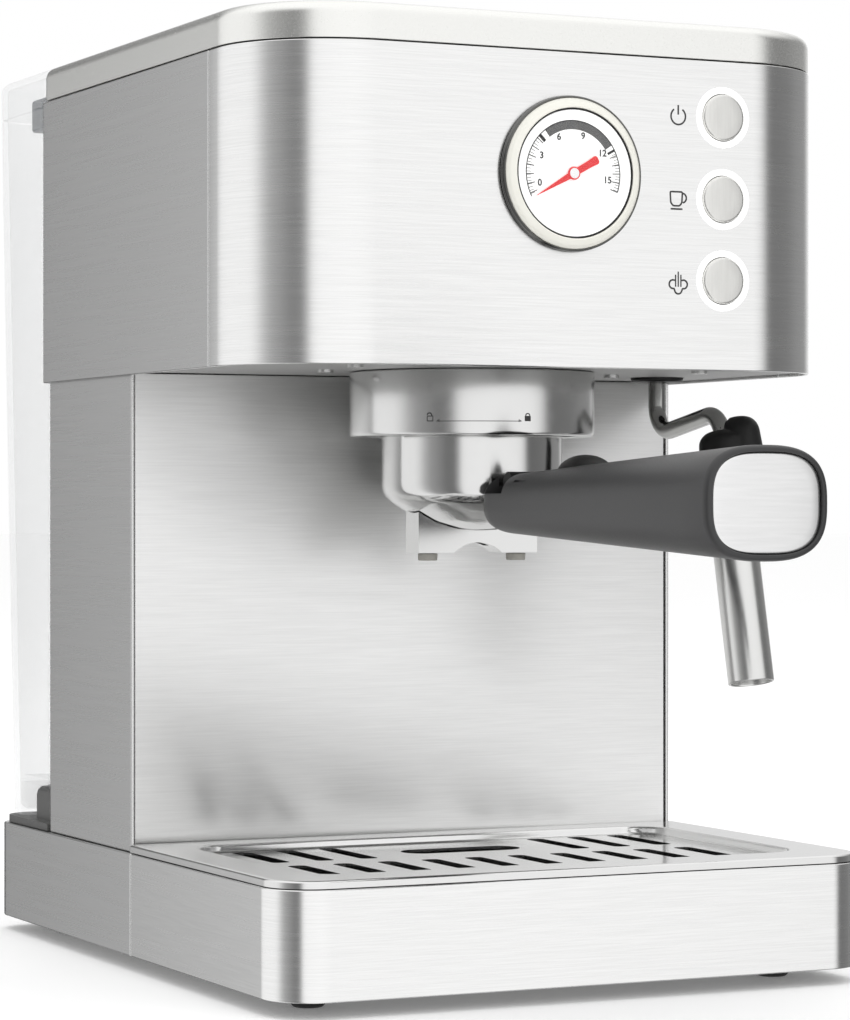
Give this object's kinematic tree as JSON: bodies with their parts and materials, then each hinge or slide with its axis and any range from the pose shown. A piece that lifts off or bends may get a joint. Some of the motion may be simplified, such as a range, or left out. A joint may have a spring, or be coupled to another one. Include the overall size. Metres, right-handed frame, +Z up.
{
  "type": "espresso machine",
  "caption": "Home espresso machine with a steel-clad head, pressure gauge, bayonet portafilter, steam wand, slotted drip tray and rear water tank.",
  "frame": {"origin": "centre of the whole machine's footprint, at the underside of the feet", "axes": "+X to the right as seen from the front, +Y to the rear, +Z up"},
  "size_m": [0.2204, 0.3854, 0.3046],
  "materials": {
    "front_cladding": "brushed across, bright",
    "side_cladding": "satin grey",
    "splash_steel": "brushed across",
    "grille_steel": "satin polished",
    "cover_silver": "silver paint, satin",
    "chassis_plastic": "moulded grey",
    "feet_rubber": "black, matt",
    "black_plastic": "black, satin",
    "handle_plastic": "dark grey, satin",
    "chrome_trim": "polished",
    "polished_steel": "polished, lightly brushed",
    "cast_silver": "satin silver",
    "dial_white": "white dial with a grey scale",
    "needle_red": "red",
    "clear_lens": "clear",
    "light_ring": "white diffuser",
    "circuit": "green laminate",
    "cast_metal": "die cast",
    "brass": "machined",
    "hose": "translucent silicone",
    "nozzle_grey": "soft grey",
    "clear_tank": "clear moulded plastic",
    "smoked_plastic": "dark blue grey"
  },
  "bodies": {
    "machine": {"base_front_wrap": "front_cladding", "head_front_wrap": "front_cladding", "base_rear_wrap": "side_cladding", "head_rear_shell": "side_cladding", "column_shell": "side_cladding", "splash_plate": "splash_steel", "cup_plate": "grille_steel", "top_cover": "cover_silver", "base_pan": "chassis_plastic", "rear_deck": "chassis_plastic", "inner_frame": "chassis_plastic", "head_floor": "chassis_plastic", "foot_front_left": "feet_rubber", "foot_front_right": "feet_rubber", "foot_rear_left": "feet_rubber", "foot_rear_right": "feet_rubber", "group_gasket": "feet_rubber", "cord_gland": "black_plastic", "swivel_bush": "black_plastic", "water_pump": "black_plastic", "gauge_bezel": "chrome_trim", "shower_screen": "polished_steel", "group_collar": "cast_silver", "gauge_body": "dial_white", "gauge_lens": "clear_lens", "light_ring_steam": "light_ring", "light_ring_brew": "light_ring", "light_ring_power": "light_ring", "switch_board": "circuit", "power_board": "circuit", "brew_head": "cast_metal", "thermoblock": "cast_metal", "steam_valve": "brass", "inlet_hose": "hose", "outlet_hose": "hose"},
    "needle": {"gauge_needle": "needle_red"},
    "steam_button": {"button_steam": "polished_steel"},
    "brew_button": {"button_brew": "polished_steel"},
    "power_button": {"button_power": "polished_steel"},
    "portafilter": {"portafilter_bowl": "chrome_trim", "filter_basket": "polished_steel", "spout_block": "chrome_trim", "nozzle_tip_left": "nozzle_grey", "nozzle_tip_right": "nozzle_grey", "handle_grip": "handle_plastic", "handle_cap": "polished_steel", "handle_rod": "polished_steel"},
    "clip": {"basket_clip": "black_plastic"},
    "wand": {"steam_tube": "polished_steel", "wand_grip": "black_plastic"},
    "sleeve": {"froth_sleeve": "polished_steel"},
    "knob": {"steam_knob": "cast_silver"},
    "tray": {"drip_tray": "chassis_plastic"},
    "grille": {"drip_grille": "grille_steel"},
    "tank": {"water_tank": "clear_tank", "tank_grip": "smoked_plastic", "tank_valve": "chassis_plastic", "lid_hinge_pin": "polished_steel"},
    "lid": {"tank_lid": "clear_tank"},
    "plunger": {"valve_plunger": "feet_rubber"}
  },
  "joints": [
    {"name": "gauge_needle_turn", "type": "hinge", "parent": "machine", "child": "needle", "pos_m": [-0.00765, -0.07625, 0.254], "axis": [0, 1, 0], "range_deg": [0, 227], "stiffness_Nm_per_rad": 0.0004},
    {"name": "steam_button_press", "type": "slide", "parent": "machine", "child": "steam_button", "axis": [0, 1, 0], "range_m": [0, 0.0016], "stiffness_N_per_m": 600},
    {"name": "brew_button_press", "type": "slide", "parent": "machine", "child": "brew_button", "axis": [0, 1, 0], "range_m": [0, 0.0016], "stiffness_N_per_m": 600},
    {"name": "power_button_press", "type": "slide", "parent": "machine", "child": "power_button", "axis": [0, 1, 0], "range_m": [0, 0.0016], "stiffness_N_per_m": 600},
    {"name": "portafilter_turn", "type": "hinge", "parent": "machine", "child": "portafilter", "pos_m": [-0.00765, -0.00575, 0.16], "axis": [0, 0, 1], "range_deg": [-45, 0]},
    {"name": "basket_clip_flip", "type": "hinge", "parent": "portafilter", "child": "clip", "pos_m": [-0.00765, -0.04725, 0.1598], "axis": [-1, 0, 0], "range_deg": [0, 30]},
    {"name": "steam_wand_swivel", "type": "hinge", "parent": "machine", "child": "wand", "pos_m": [0.07175, 0.01265, 0.19], "axis": [0, 0, 1], "range_deg": [-30, 75]},
    {"name": "froth_sleeve_pull", "type": "slide", "parent": "wand", "child": "sleeve", "axis": [0, -0.2231, -0.9748], "range_m": [0, 0.042]},
    {"name": "steam_knob_turn", "type": "hinge", "parent": "machine", "child": "knob", "pos_m": [0.10235, 0.01275, 0.243], "axis": [1, 0, 0], "range_deg": [0, 180]},
    {"name": "drip_tray_lift", "type": "slide", "parent": "machine", "child": "tray", "axis": [0, 0, 1], "range_m": [0, 0.032]},
    {"name": "drip_grille_lift", "type": "slide", "parent": "tray", "child": "grille", "axis": [0, 0, 1], "range_m": [0, 0.018]},
    {"name": "water_tank_lift", "type": "slide", "parent": "machine", "child": "tank", "axis": [0, 0, 1], "range_m": [0, 0.27]},
    {"name": "tank_lid_open", "type": "hinge", "parent": "tank", "child": "lid", "pos_m": [-0.00765, 0.18965, 0.2906], "axis": [-1, 0, 0], "range_deg": [0, 95]},
    {"name": "valve_plunger_lift", "type": "slide", "parent": "tank", "child": "plunger", "axis": [0, 0, 1], "range_m": [0, 0.0015], "stiffness_N_per_m": 150}
  ]
}
